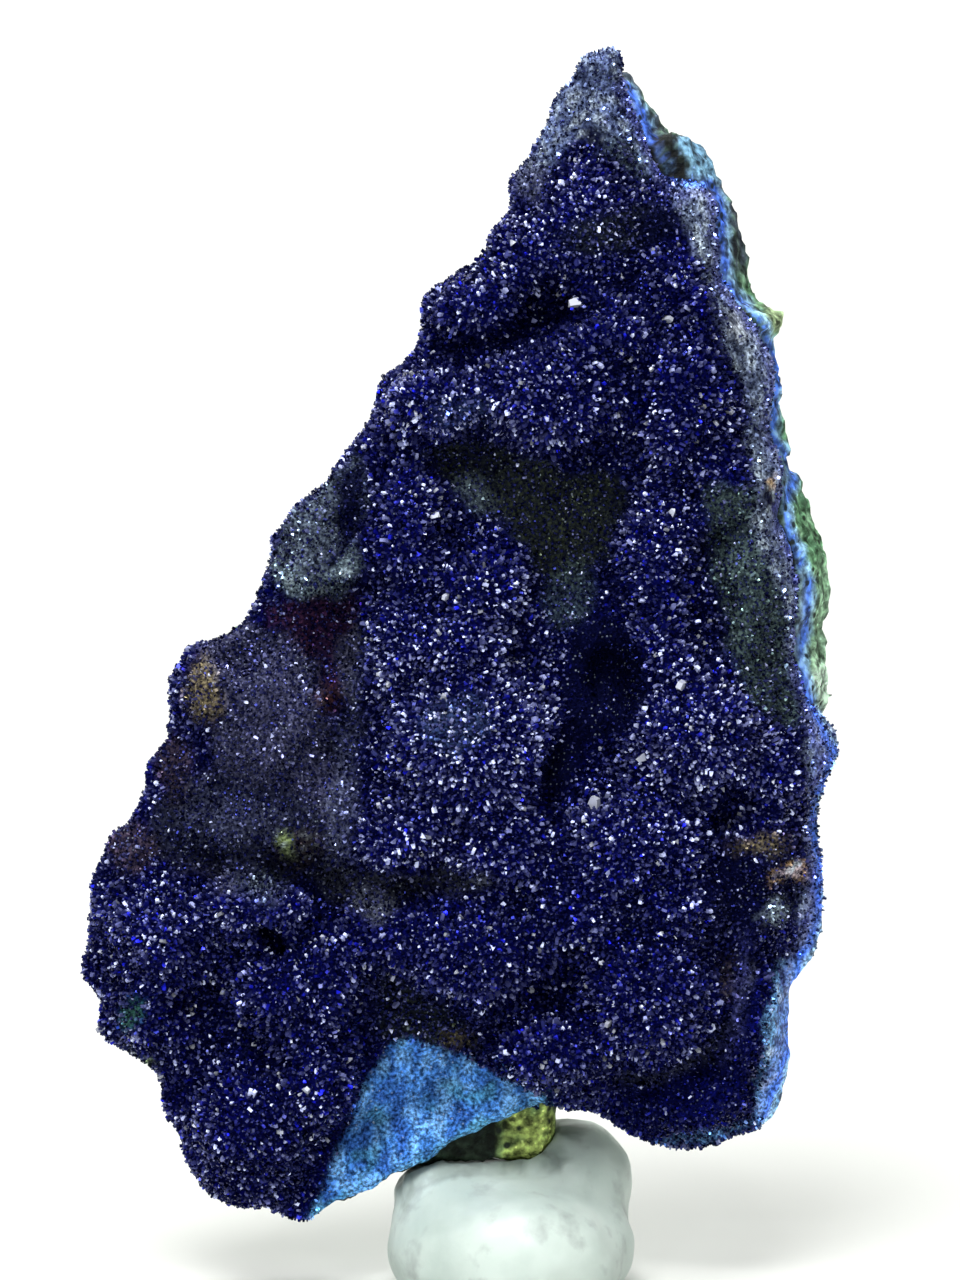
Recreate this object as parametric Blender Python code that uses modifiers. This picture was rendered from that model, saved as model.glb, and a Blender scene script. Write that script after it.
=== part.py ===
"""Azurite on malachite: a thick crust of dark blue lobes on green rock, standing in a lump of putty.

Real size in metres, +Z up. The crystal face looks along -Y, and the origin is on the table, under the
middle of the whole object. Three solids:
  azurite_crust     the blue crust, with its lobes, hollows, broken right edge and broken lower edge
  malachite_matrix  the green rock that the crust grew on, with the foot that stands in the putty
  display_putty     the kneaded lump that holds the foot, flat where it is pressed on the table
"""

import math

import bmesh
import bpy
from mathutils import Vector

MM = 0.001

# Driving sizes, in millimetres. Depths count forward from the crust's back, which lies near y = 0.
# The rock's outline is the crust's, drawn in at the left by an inset and shrunk in height about a centre.
LEDGE = 2.3
MAIN_LEDGE = 3.5
LOBE_SPREAD = 0.94
ROCK_INSET = 2.5
ROCK_RETREAT = 1.5
ROCK_SHRINK = 0.972
ROCK_CENTRE = (11.0, 48.0)
ROCK_SLAB = 4.2
BREAK_REACH = 12.4
SEAT_GAP = 0.35
BREAK_LEAN = 0.5
CRUST_VOXEL = 0.75
MATRIX_VOXEL = 0.85
PUTTY_VOXEL = 0.9
ROOM_VOXEL = 0.8
HOLLOW_VOXEL = 0.4
SKIN_VOXEL = 0.5
CONTACT_WAVE = 3.2
CRUST_TRIANGLES = 5600
MATRIX_TRIANGLES = 3000
PUTTY_TRIANGLES = 900
FAR = 40.0

# The crust seen from the front, as (x, z) in millimetres, up the left side from the lowest lobe.
# Its right side runs past the break, which is cut afterwards.
CRUST_OUTLINE = [
    (-11.8, 5.0), (-15.4, 6.6), (-19.4, 9.5), (-23.2, 13.0), (-24.0, 17.0), (-27.5, 18.9),
    (-29.0, 24.6), (-28.9, 30.9), (-27.2, 34.6), (-24.4, 37.2), (-24.1, 41.0), (-22.4, 42.8),
    (-22.9, 46.8), (-21.4, 49.4), (-18.0, 50.6), (-16.2, 51.7), (-15.9, 53.6), (-15.0, 55.0),
    (-15.2, 57.2), (-13.3, 59.3), (-10.2, 62.0), (-8.6, 64.0), (-7.2, 68.7), (-4.0, 71.0),
    (-3.4, 74.8), (-1.1, 77.0), (1.4, 77.7), (2.8, 80.7), (3.1, 85.0), (5.0, 86.2),
    (6.7, 90.2), (7.5, 92.2), (8.7, 93.6), (10.7, 94.3), (12.2, 93.6), (13.6, 92.0),
    (20.0, 88.0), (25.0, 80.0),
    (29.0, 70.0), (32.0, 55.0), (33.0, 40.0), (32.0, 25.0), (28.0, 13.2), (22.6, 11.7),
    (20.0, 11.0), (15.8, 10.0), (12.6, 11.7), (9.8, 13.6), (5.3, 14.3), (0.4, 11.6),
    (-4.4, 9.0),
]

# The higher ledge that carries the middle of the crust, with its straight left flank.
MAIN_OUTLINE = [
    (-5.6, 19.1), (-6.6, 21.8), (-8.6, 25.5), (-8.2, 30.0), (-9.3, 33.0), (-9.1, 37.5),
    (-8.0, 45.0), (-7.7, 55.5), (-7.6, 65.3), (-5.9, 68.5), (-3.2, 70.2), (7.6, 73.3),
    (13.6, 78.2), (17.3, 80.5), (22.0, 74.0), (28.0, 60.0), (28.0, 40.0), (26.0, 30.0),
    (21.5, 21.5), (18.0, 16.8), (13.6, 14.4), (9.8, 14.8), (5.3, 15.2), (-2.2, 18.6),
]

# The line where crust and rock meet along the broken right edge, from the tip down.
# Low down the crust itself reaches the outline, and the rock stays behind it.
CRUST_EDGE = [
    (12.1, 95.5), (12.4, 90.8), (13.9, 87.2), (15.2, 83.8), (18.0, 83.9), (19.2, 82.0),
    (19.4, 77.0), (21.2, 74.4), (23.4, 71.0), (23.9, 68.6), (23.3, 65.6), (24.7, 62.4),
    (24.2, 58.6), (25.9, 53.8), (25.5, 48.6), (26.4, 45.2), (28.5, 42.6), (28.7, 40.8),
    (27.2, 38.2), (26.8, 36.0), (27.5, 32.0), (27.8, 28.0), (27.0, 25.2), (25.3, 23.6),
    (24.9, 20.0), (25.1, 17.6), (24.0, 13.8), (22.8, 12.0), (22.4, 8.4),
]

# The outer rim of the rock on the same side, at the rock's full depth.
ROCK_EDGE = [
    (11.6, 95.5), (13.2, 91.8), (14.6, 89.6), (15.4, 87.4), (15.6, 84.8), (16.6, 87.6),
    (17.8, 87.2), (19.0, 85.2), (20.9, 80.6), (21.5, 77.6), (21.8, 74.9), (24.0, 74.1),
    (24.6, 73.1), (23.3, 71.8), (24.1, 69.0), (24.5, 65.0), (25.3, 62.4), (26.8, 58.6),
    (28.0, 55.4), (28.1, 52.2), (27.3, 49.8), (28.2, 47.2), (28.1, 44.6), (26.6, 42.0),
    (25.6, 34.0), (25.6, 27.0), (23.8, 23.0), (22.8, 16.0), (21.0, 12.0),
]

# Lobes of the crust: x, z, half width, half height, and how far the top stands off the crust's back.
CRUST_LOBES = {
    "tip": (10.3, 88.8, 2.9, 5.2, 4.2),
    "tip_top": (10.4, 91.8, 2.1, 2.0, 3.6),
    "spire": (8.7, 80.6, 5.2, 6.6, 6.2),
    "spire_shoulder": (4.6, 78.0, 4.1, 3.6, 6.4),
    "spire_left": (0.9, 74.4, 3.8, 3.1, 6.8),
    "spire_knob": (4.4, 82.7, 1.6, 2.0, 4.0),
    "notch_side": (15.0, 80.6, 2.8, 3.6, 4.8),
    "upper_right": (17.3, 75.0, 3.8, 4.5, 7.0),
    "shoulder": (-2.4, 67.3, 4.8, 3.3, 7.9),
    "brow": (6.1, 68.0, 7.0, 4.6, 8.9),
    "brow_rise": (10.8, 73.0, 4.4, 2.8, 8.2),
    "right_rise": (15.8, 67.5, 4.6, 6.6, 8.4),
    "right_rib": (14.3, 55.5, 3.0, 6.8, 7.9),
    "left_rib": (-4.4, 58.3, 3.3, 5.3, 7.9),
    "left_rib_low": (-4.5, 49.5, 3.2, 4.6, 7.4),
    "middle_left": (0.8, 53.6, 4.3, 3.3, 7.9),
    "dome_saddle": (-0.5, 49.8, 5.0, 2.6, 8.4),
    "great_dome": (0.5, 42.0, 7.7, 7.2, 10.8),
    "right_dome": (17.3, 43.3, 7.2, 6.2, 9.8),
    "right_dome_top": (14.4, 49.3, 3.2, 3.8, 8.4),
    "waist": (12.0, 34.4, 7.4, 5.4, 9.5),
    "waist_left": (3.0, 34.3, 5.2, 3.8, 9.0),
    "waist_far_left": (-4.5, 35.4, 4.4, 3.1, 8.2),
    "belly": (0.8, 27.0, 7.4, 5.2, 9.1),
    "belly_bridge": (8.2, 29.4, 4.8, 3.2, 8.5),
    "waist_bridge": (15.4, 30.4, 4.4, 3.0, 8.7),
    "lower_disc": (13.4, 23.4, 6.6, 7.0, 9.6),
    "lower_lip": (6.5, 18.9, 5.4, 3.3, 8.2),
    "right_toe": (17.3, 15.0, 5.2, 3.5, 5.8),
    "right_fold": (21.3, 21.8, 2.4, 6.0, 5.2),
    "stained_knob": (21.4, 33.8, 3.6, 3.6, 6.8),
    "stained_foot": (21.4, 28.8, 3.2, 2.9, 6.2),
    "right_hip": (23.0, 40.4, 3.2, 4.0, 6.8),
    "grey_oval": (20.8, 53.0, 3.2, 7.8, 6.2),
    "grey_oval_top": (18.8, 61.5, 2.9, 4.3, 7.1),
    "curl": (-11.4, 57.2, 2.8, 4.0, 5.0),
    "curl_top": (-8.7, 60.6, 1.6, 3.0, 3.8),
    "curl_lip": (-11.6, 54.4, 2.3, 1.4, 6.0),
    "curl_lip_end": (-9.0, 55.9, 1.3, 2.2, 5.8),
    "left_boss": (-14.6, 43.4, 6.2, 6.7, 6.4),
    "ochre_knob": (-19.5, 45.6, 2.4, 3.6, 5.0),
    "brown_knob": (-21.0, 39.8, 2.3, 2.3, 3.9),
    "left_saddle": (-16.6, 36.2, 6.2, 4.3, 5.8),
    "left_bead": (-24.4, 33.6, 2.2, 2.4, 4.0),
    "grey_slope": (-9.8, 37.0, 2.8, 4.4, 5.8),
    "hip": (-22.2, 27.6, 5.4, 5.3, 7.4),
    "hip_inner": (-17.2, 30.0, 2.9, 2.9, 7.8),
    "hip_mound": (-14.0, 30.2, 3.0, 2.5, 9.0),
    "lower_left": (-12.6, 24.0, 6.2, 5.4, 8.4),
    "outer_left": (-23.9, 21.9, 3.5, 3.6, 6.2),
    "heel": (-16.4, 13.0, 5.9, 6.8, 7.4),
    "heel_inner": (-11.2, 17.3, 3.9, 5.2, 7.8),
    "inner_left": (-6.3, 27.8, 4.4, 3.3, 8.2),
}

# Lumps of the rock behind: x, z, half width, half height, and how far each reaches back.
MATRIX_LUMPS = {
    "top": (12.6, 84.0, 3.2, 6.4, 3.6),
    "upper": (10.0, 74.5, 8.0, 8.5, 6.4),
    "upper_right": (19.5, 73.0, 4.6, 5.5, 5.4),
    "edge_knob": (23.0, 73.2, 2.0, 1.6, 5.6),
    "middle": (6.0, 56.0, 13.0, 12.0, 8.2),
    "middle_right": (22.0, 53.0, 6.0, 10.0, 6.8),
    "waist": (10.0, 38.0, 13.0, 10.0, 8.6),
    "left": (-11.0, 40.0, 8.5, 9.5, 6.4),
    "left_low": (-15.0, 25.5, 9.5, 8.5, 6.8),
    "low": (3.0, 24.0, 12.0, 9.0, 7.8),
    "low_right": (18.0, 24.0, 7.0, 9.0, 6.4),
    "heel": (-13.5, 14.5, 5.8, 5.0, 5.2),
    "foot_root": (1.0, 11.6, 4.4, 2.5, 4.6),
}

# Open vugs in the rock, as (x, depth behind the crust, z, radius).
VUGS = [
    (24.4, 3.6, 62.4, 0.9), (26.9, 4.2, 54.8, 0.9), (26.4, 4.0, 47.6, 1.0), (23.0, 3.4, 69.4, 0.8),
    (8.0, 8.2, 66.0, 2.6), (-2.0, 8.4, 47.0, 2.2), (14.0, 8.6, 42.0, 3.2), (-14.0, 7.0, 33.0, 2.4),
    (4.0, 8.8, 28.0, 2.2), (17.0, 7.0, 27.0, 2.0), (14.0, 5.6, 78.0, 1.7), (-18.0, 7.4, 21.0, 1.8),
]

# Pits and hollows of the crust: x, z, half width, half height, height of the floor, tilt in degrees.
CRUST_PITS = {
    "black_hollow": (10.2, 47.0, 3.0, 4.4, 1.8, 0.0),
    "black_cleft": (7.3, 41.2, 1.5, 4.2, 3.2, -28.0),
    "olive_hollow": (6.6, 60.6, 6.2, 2.2, 4.3, -14.0),
    "olive_tail": (9.6, 54.4, 2.2, 5.6, 4.3, -10.0),
    "tip_hole": (9.4, 87.4, 1.9, 0.9, 1.8, 35.0),
    "step_crevice": (4.6, 72.5, 8.8, 1.1, 2.8, 21.0),
    "edge_hole": (22.4, 60.2, 0.8, 1.4, 2.2, -35.0),
    "hip_cleft": (-14.4, 27.6, 1.2, 2.3, 3.0, 40.0),
    "side_hole": (24.9, 42.1, 0.5, 1.0, 2.6, -10.0),
    "green_pit": (-25.0, 21.4, 0.9, 1.5, 3.2, -12.0),
    "maroon_recess": (-11.0, 49.4, 2.6, 3.2, 1.4, 12.0),
    "curl_recess": (-9.0, 58.6, 1.1, 3.2, 1.8, -16.0),
    "fold_groove": (17.7, 29.8, 0.8, 3.4, 3.8, 0.0),
    "disc_groove": (12.9, 26.0, 0.6, 4.2, 5.6, 4.0),
    "toe_groove": (17.4, 18.2, 5.0, 0.9, 3.2, 32.0),
    "side_groove": (20.3, 22.6, 0.7, 4.0, 3.0, 0.0),
    "waist_crease": (-6.6, 31.9, 4.6, 0.7, 4.6, 8.0),
}

# The broken lower edge, a face that leans back from its apex. Each corner is (x, depth forward, z).
LOWER_BREAK = [
    (-5.6, 5.6, 19.2), (-11.6, 1.7, 5.4), (-11.6, 0.4, -2.0), (8.0, 0.4, 7.0), (5.9, 1.7, 14.6),
    (-1.8, 4.4, 18.6),
]
LOWER_BREAK_SWEEP = (-1.0, 30.0, 0.6)

# The foot of the rock that stands in the putty: its middle, half sizes and turns about Y and X.
FOOT_MIDDLE = (5.0, 3.2, 12.6)
FOOT_HALF = (1.9, 1.8, 3.5)
FOOT_TURN = (8.0, -14.0)

# Kneaded lumps of the putty, as (x, y, z) of the middle and the three half sizes.
PUTTY_LUMPS = [
    ((3.4, 0.2, 3.0), (9.7, 9.0, 6.0)),
    ((8.0, 3.4, 7.4), (5.0, 4.8, 4.9)),
    ((-0.8, 1.0, 5.2), (5.0, 6.2, 4.4)),
    ((4.2, -4.6, 3.0), (7.2, 4.8, 5.4)),
]

COLOURS = {
    "azurite_crust": ((0.012, 0.010, 0.110, 1.0), 0.35),
    "malachite_matrix": ((0.110, 0.230, 0.120, 1.0), 0.75),
    "display_putty": ((0.610, 0.680, 0.660, 1.0), 0.55),
}


def clear_scene():
    """Remove whatever the open file holds."""
    for obj in list(bpy.data.objects):
        bpy.data.objects.remove(obj, do_unlink=True)


def new_collection(name):
    """A collection of the scene, by name."""
    made = bpy.data.collections.new(name)
    bpy.context.scene.collection.children.link(made)
    return made


def move_to(obj, collection):
    """Put an object in one collection alone."""
    for old in list(obj.users_collection):
        old.objects.unlink(obj)
    collection.objects.link(obj)


def hide_helper(obj):
    """Mark a cutter or a source shape, which isn't part of the model."""
    obj.hide_render = True
    obj.display_type = "WIRE"
    move_to(obj, HELPERS)


def apply_transform(obj):
    """Bake an object's place, turn and size into its mesh."""
    obj.data.transform(obj.matrix_basis)
    obj.matrix_basis.identity()


def mesh_of(obj, name):
    """A new mesh object with an object's shape as evaluated, welded and facing out."""
    graph = bpy.context.evaluated_depsgraph_get()
    mesh = bpy.data.meshes.new_from_object(obj.evaluated_get(graph))
    mesh.transform(obj.matrix_world)
    shape = bmesh.new()
    shape.from_mesh(mesh)
    bmesh.ops.remove_doubles(shape, verts=shape.verts, dist=0.001 * MM)
    bmesh.ops.recalc_face_normals(shape, faces=shape.faces)
    shape.to_mesh(mesh)
    shape.free()
    made = bpy.data.objects.new(name, mesh)
    bpy.context.scene.collection.objects.link(made)
    return made


def outline_slab(name, outline, back, front):
    """A slab with the given front outline, between two depths forward of the crust's back."""
    curve = bpy.data.curves.new(name, "CURVE")
    curve.dimensions = "2D"
    curve.fill_mode = "BOTH"
    curve.extrude = (front - back) / 2 * MM
    spline = curve.splines.new("POLY")
    spline.points.add(len(outline) - 1)
    for point, (x, z) in zip(spline.points, outline):
        point.co = (x * MM, z * MM, 0.0, 1.0)
    spline.use_cyclic_u = True
    flat = bpy.data.objects.new(name, curve)
    bpy.context.scene.collection.objects.link(flat)
    flat.rotation_euler.x = math.radians(90.0)
    flat.location.y = -(front + back) / 2 * MM
    bpy.context.view_layer.update()
    slab = mesh_of(flat, name + "_slab")
    bpy.data.objects.remove(flat, do_unlink=True)
    return slab


def ellipsoid(name, middle, half_sizes, subdivisions=3, turn=0.0):
    """A faceted ellipsoid, in millimetres, turned anticlockwise in degrees as the front view sees it."""
    bpy.ops.mesh.primitive_ico_sphere_add(subdivisions=subdivisions, radius=1.0)
    made = bpy.context.object
    made.name = name
    made.scale = [size * MM for size in half_sizes]
    made.rotation_euler.y = -math.radians(turn)
    made.location = [value * MM for value in middle]
    bpy.context.view_layer.update()
    apply_transform(made)
    return made


def join(objects, name):
    """Several meshes as one object, still overlapping."""
    bpy.ops.object.select_all(action="DESELECT")
    for obj in objects:
        obj.select_set(True)
    bpy.context.view_layer.objects.active = objects[0]
    bpy.ops.object.join()
    objects[0].name = name
    return objects[0]


def texture(name, kind, size):
    """A Blender texture for displacement, with features of a size in millimetres."""
    made = bpy.data.textures.new(name, kind)
    made.noise_scale = size * MM
    return made


def displace(obj, made_texture, strength, middle=0.5):
    """Push a surface in and out along its normals by a texture."""
    modifier = obj.modifiers.new("Relief", "DISPLACE")
    modifier.texture = made_texture
    modifier.texture_coords = "LOCAL"
    modifier.strength = strength * MM
    modifier.mid_level = middle


def fuse(obj, voxel, smoothing):
    """Melt overlapping shapes into one closed skin, then soften it."""
    remesh = obj.modifiers.new("Fuse", "REMESH")
    remesh.mode = "VOXEL"
    remesh.voxel_size = voxel * MM
    if smoothing:
        smooth = obj.modifiers.new("Soften", "SMOOTH")
        smooth.factor = 0.5
        smooth.iterations = smoothing


def subtract(obj, cutter):
    """Cut one closed mesh from another."""
    modifier = obj.modifiers.new("Cut " + cutter.name, "BOOLEAN")
    modifier.operation = "DIFFERENCE"
    modifier.object = cutter
    modifier.solver = "EXACT"


def thin_out(obj, triangles):
    """Reduce a mesh to about a number of triangles."""
    graph = bpy.context.evaluated_depsgraph_get()
    mesh = obj.evaluated_get(graph).data
    mesh.calc_loop_triangles()
    modifier = obj.modifiers.new("Facets", "DECIMATE")
    modifier.ratio = min(1.0, triangles / len(mesh.loop_triangles))
    modifier.use_collapse_triangulate = True


def swept_face(name, corners, sweep):
    """A closed prism: a face through (x, forward, z) corners, swept along (x, forward, z)."""
    shape = bmesh.new()
    verts = [shape.verts.new((x * MM, -forward * MM, z * MM)) for x, forward, z in corners]
    face = shape.faces.new(verts)
    swept = bmesh.ops.extrude_face_region(shape, geom=[face])
    moved = [part for part in swept["geom"] if isinstance(part, bmesh.types.BMVert)]
    along = Vector((sweep[0], -sweep[1], sweep[2])) * MM
    bmesh.ops.translate(shape, verts=moved, vec=along)
    bmesh.ops.triangulate(shape, faces=shape.faces)
    bmesh.ops.recalc_face_normals(shape, faces=shape.faces)
    mesh = bpy.data.meshes.new(name)
    shape.to_mesh(mesh)
    shape.free()
    made = bpy.data.objects.new(name, mesh)
    bpy.context.scene.collection.objects.link(made)
    return made


def lower_break(name, raised):
    """The space in front of the broken lower edge, with its left part raised by some millimetres."""
    corners = [(x, forward, z + raised * (x < 0.0)) for x, forward, z in LOWER_BREAK]
    cutter = swept_face(name, corners, LOWER_BREAK_SWEEP)
    hide_helper(cutter)
    return cutter


def right_break(name, edge, depth):
    """Everything outside a broken edge, given at a depth behind the crust. It leans in towards the front."""
    reach = BREAK_REACH - depth
    back = [(x + BREAK_LEAN * reach, -BREAK_REACH, z) for x, z in edge]
    top = 2 * FAR + edge[0][1]
    back += [(2 * FAR, -BREAK_REACH, 0.0), (2 * FAR, -BREAK_REACH, top)]
    back += [(back[0][0], -BREAK_REACH, top)]
    sweep = BREAK_REACH + FAR / 2
    cutter = swept_face(name, back, (-BREAK_LEAN * sweep, sweep, 0.0))
    hide_helper(cutter)
    return cutter


def contact_sheet(name, shift, towards):
    """A slab whose near face is the wavy contact between crust and rock.

    It fills the back for towards = 1, and the front for towards = -1. Both have the same waves.
    """
    bpy.ops.mesh.primitive_grid_add(x_subdivisions=22, y_subdivisions=34, size=1.0)
    made = bpy.context.object
    made.name = name
    made.scale = (90.0 * MM, 130.0 * MM, 1.0)
    made.rotation_euler.x = math.radians(90.0 * towards)
    made.location.z = 50.0 * MM
    bpy.context.view_layer.update()
    apply_transform(made)
    displace(made, texture(name + " waves", "CLOUDS", 16.0), CONTACT_WAVE * towards)
    body = made.modifiers.new("Body", "SOLIDIFY")
    body.thickness = 25.0 * MM
    made.location.y = shift * MM
    hide_helper(made)
    return made


def pits(name, table):
    """One cutter for pits opened from the front, each down to its height above the crust's back."""
    depth = 9.0
    shapes = []
    for place, (x, z, half_width, half_height, floor, tilt) in table.items():
        middle = (x, -(floor + depth), z)
        shapes.append(ellipsoid(place, middle, (half_width, depth, half_height), 3, tilt))
    made = join(shapes, name)
    fuse(made, HOLLOW_VOXEL, 0)
    hide_helper(made)
    return made


def balls(name, table):
    """One cutter for round vugs in the rock."""
    shapes = [ellipsoid(name, (x, y, z), (radius, radius, radius)) for x, y, z, radius in table]
    made = join(shapes, name)
    fuse(made, HOLLOW_VOXEL, 0)
    hide_helper(made)
    return made


def make_crust(breaks):
    """The blue crust: ledges and lobes melted together, then broken, pitted and faceted."""
    shapes = [
        outline_slab("ledge", CRUST_OUTLINE, -1.0, LEDGE),
        outline_slab("main_ledge", MAIN_OUTLINE, -1.0, MAIN_LEDGE),
    ]
    for name, (x, z, half_width, half_height, top) in CRUST_LOBES.items():
        belly = 1.15 * min(half_width, half_height)
        sizes = (LOBE_SPREAD * half_width, belly, LOBE_SPREAD * half_height)
        shapes.append(ellipsoid(name, (x, belly - top, z), sizes))
    crust = join(shapes, "azurite_crust")
    fuse(crust, CRUST_VOXEL, 3)
    displace(crust, texture("swells", "CLOUDS", 6.0), 1.5)
    displace(crust, texture("small lobes", "VORONOI", 3.2), -1.3, 0.35)
    fuse(crust, SKIN_VOXEL, 0)
    subtract(crust, contact_sheet("behind_crust", 0.0, 1))
    subtract(crust, pits("hollows", CRUST_PITS))
    for cutter in breaks:
        subtract(crust, cutter)
    fuse(crust, SKIN_VOXEL, 0)
    thin_out(crust, CRUST_TRIANGLES)
    return crust


def room_for(obj, gap):
    """A closed copy of a finished solid, grown by a gap, to cut room for it in a neighbour."""
    copy = mesh_of(obj, obj.name + "_room")
    displace(copy, None, gap + ROOM_VOXEL / 2, 0.0)
    fuse(copy, ROOM_VOXEL, 0)
    hide_helper(copy)
    return copy


def make_matrix(breaks):
    """The green rock: lumps behind the crust, with the foot, vugs and its own broken edge."""
    centre_x, centre_z = ROCK_CENTRE
    outline = [
        (x + ROCK_INSET * (x < centre_x), centre_z + ROCK_SHRINK * (z - centre_z))
        for x, z in CRUST_OUTLINE
    ]
    shapes = [outline_slab("rock_slab", outline, -ROCK_SLAB, 1.0)]
    for name, (x, z, half_width, half_height, back) in MATRIX_LUMPS.items():
        shapes.append(ellipsoid(name, (x, 0.0, z), (half_width, back, half_height)))
    bpy.ops.mesh.primitive_cube_add(size=2.0)
    foot = bpy.context.object
    foot.scale = [size * MM for size in FOOT_HALF]
    foot.rotation_euler = (math.radians(FOOT_TURN[1]), math.radians(FOOT_TURN[0]), 0.0)
    foot.location = [value * MM for value in FOOT_MIDDLE]
    bpy.context.view_layer.update()
    apply_transform(foot)
    shapes.append(foot)
    rock = join(shapes, "malachite_matrix")
    fuse(rock, MATRIX_VOXEL, 1)
    displace(rock, texture("rock", "CLOUDS", 5.0), 1.8)
    displace(rock, texture("grit", "VORONOI", 2.2), 0.9, 0.4)
    fuse(rock, SKIN_VOXEL, 0)
    subtract(rock, contact_sheet("before_rock", SEAT_GAP, -1))
    subtract(rock, balls("vugs", VUGS))
    for cutter in breaks:
        subtract(rock, cutter)
    fuse(rock, SKIN_VOXEL, 0)
    thin_out(rock, MATRIX_TRIANGLES)
    return rock


def make_putty(neighbours):
    """The putty: kneaded lumps, pressed flat on the table, with the seat of the foot in it."""
    lumps = [ellipsoid("lump", middle, sizes) for middle, sizes in PUTTY_LUMPS]
    putty = join(lumps, "display_putty")
    fuse(putty, PUTTY_VOXEL, 6)
    bpy.ops.mesh.primitive_cube_add(size=1.0)
    table = bpy.context.object
    table.name = "table_cut"
    table.scale = (60.0 * MM, 60.0 * MM, 20.0 * MM)
    table.location.z = -10.0 * MM
    bpy.context.view_layer.update()
    apply_transform(table)
    hide_helper(table)
    thin_out(putty, PUTTY_TRIANGLES)
    subtract(putty, table)
    for neighbour in neighbours:
        subtract(putty, room_for(neighbour, SEAT_GAP))
    return putty


def finish(obj, name):
    """Give a solid its plain mesh, colour and shading, and put it in the specimen's collection."""
    made = mesh_of(obj, name + "_done")
    bpy.data.objects.remove(obj, do_unlink=True)
    made.name = name
    made.data.name = name
    colour, roughness = COLOURS[name]
    material = bpy.data.materials.new(name)
    material.use_nodes = True
    shader = material.node_tree.nodes["Principled BSDF"]
    shader.inputs["Base Color"].default_value = colour
    shader.inputs["Roughness"].default_value = roughness
    made.data.materials.append(material)
    move_to(made, SPECIMEN)
    return made


def stand_on_origin(objects):
    """Move everything so that the origin is under the middle of the whole, on the table."""
    points = [vertex.co for obj in objects for vertex in obj.data.vertices]
    low = Vector([min(point[axis] for point in points) for axis in range(3)])
    high = Vector([max(point[axis] for point in points) for axis in range(3)])
    shift = Vector((-(low.x + high.x) / 2, -(low.y + high.y) / 2, -low.z))
    for obj in objects:
        obj.location = shift
    print("moved by, in mm:", [round(value / MM, 3) for value in shift])
    print("size, in mm:", [round(value / MM, 2) for value in high - low])


clear_scene()
SPECIMEN = new_collection("Azurite specimen")
HELPERS = new_collection("Cutters")
crust_breaks = [lower_break("crust_low", 0.0), right_break("crust_side", CRUST_EDGE, 0.0)]
rock_breaks = [lower_break("rock_low", ROCK_RETREAT), right_break("rock_side", ROCK_EDGE, ROCK_SLAB)]
crust_solid = finish(make_crust(crust_breaks), "azurite_crust")
matrix_solid = finish(make_matrix(rock_breaks), "malachite_matrix")
putty_solid = finish(make_putty([matrix_solid, crust_solid]), "display_putty")
stand_on_origin([crust_solid, matrix_solid, putty_solid])
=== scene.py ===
# %% [markdown]
# # Azurite on malachite, standing in a lump of putty
#
# This lesson dresses a small mineral specimen. The front is a druse: a crust of tens of thousands of tiny
# dark blue crystals. The right edge is broken and shows the crust's grey-blue inside, a thin cobalt line and
# the green rock behind it. A kneaded lump of pale putty holds it upright.
#
# The main solids come ready made, at their real size. Here they get their fine surface, their colours,
# their crystals, and a plain studio around them.

# %% Load the solids
import math

import bpy
import numpy as np
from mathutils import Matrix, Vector, noise
from mathutils.bvhtree import BVHTree


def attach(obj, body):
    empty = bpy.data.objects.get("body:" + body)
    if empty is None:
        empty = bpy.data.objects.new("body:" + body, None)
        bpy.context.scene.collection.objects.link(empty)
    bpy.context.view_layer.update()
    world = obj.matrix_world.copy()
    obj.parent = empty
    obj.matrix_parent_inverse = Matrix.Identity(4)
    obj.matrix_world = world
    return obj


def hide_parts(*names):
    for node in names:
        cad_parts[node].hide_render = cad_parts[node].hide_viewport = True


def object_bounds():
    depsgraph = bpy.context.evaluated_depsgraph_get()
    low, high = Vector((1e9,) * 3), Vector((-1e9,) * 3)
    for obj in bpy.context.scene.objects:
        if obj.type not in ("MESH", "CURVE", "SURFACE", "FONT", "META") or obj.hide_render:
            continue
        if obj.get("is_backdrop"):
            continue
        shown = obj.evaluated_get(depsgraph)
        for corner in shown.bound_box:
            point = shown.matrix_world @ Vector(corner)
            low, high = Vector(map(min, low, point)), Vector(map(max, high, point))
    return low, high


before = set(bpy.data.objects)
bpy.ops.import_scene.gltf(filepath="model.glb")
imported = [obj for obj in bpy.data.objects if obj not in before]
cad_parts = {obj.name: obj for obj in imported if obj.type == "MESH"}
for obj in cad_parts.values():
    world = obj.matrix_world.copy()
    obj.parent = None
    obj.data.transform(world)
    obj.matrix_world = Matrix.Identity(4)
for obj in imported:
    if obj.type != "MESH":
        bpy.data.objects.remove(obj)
CAD_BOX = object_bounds()
MM = 0.001
SEED = 20
print("solids:", sorted(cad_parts))
print("size in mm:", [round(side / MM, 1) for side in Vector(CAD_BOX[1]) - Vector(CAD_BOX[0])])

# %% [markdown]
# ## Places on the face
#
# Colours change from lobe to lobe, so each coloured patch needs a place. The face looks along -Y, so a
# place is an x and a z, in millimetres. Painting by hand in Texture Paint would also work, but then the
# colours would be a picture. Ellipses and outlines with soft, wobbling edges are easier to change, and stay
# sharp at any distance.
#
# The places were read off a photograph of 960 by 1280 pixels, so the patches below are written in its pixels
# and turned into millimetres by one scale and one origin.

# %% From pixels to millimetres
PIXEL = 0.075
MIDDLE_COLUMN = 454.6
TABLE_ROW = 1300.0


def to_face(points):
    """Pixels of the photograph as x and z on the face, in millimetres."""
    points = np.asarray(points, float)
    return np.stack([(points[..., 0] - MIDDLE_COLUMN), (TABLE_ROW - points[..., 1])], -1) * PIXEL


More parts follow.
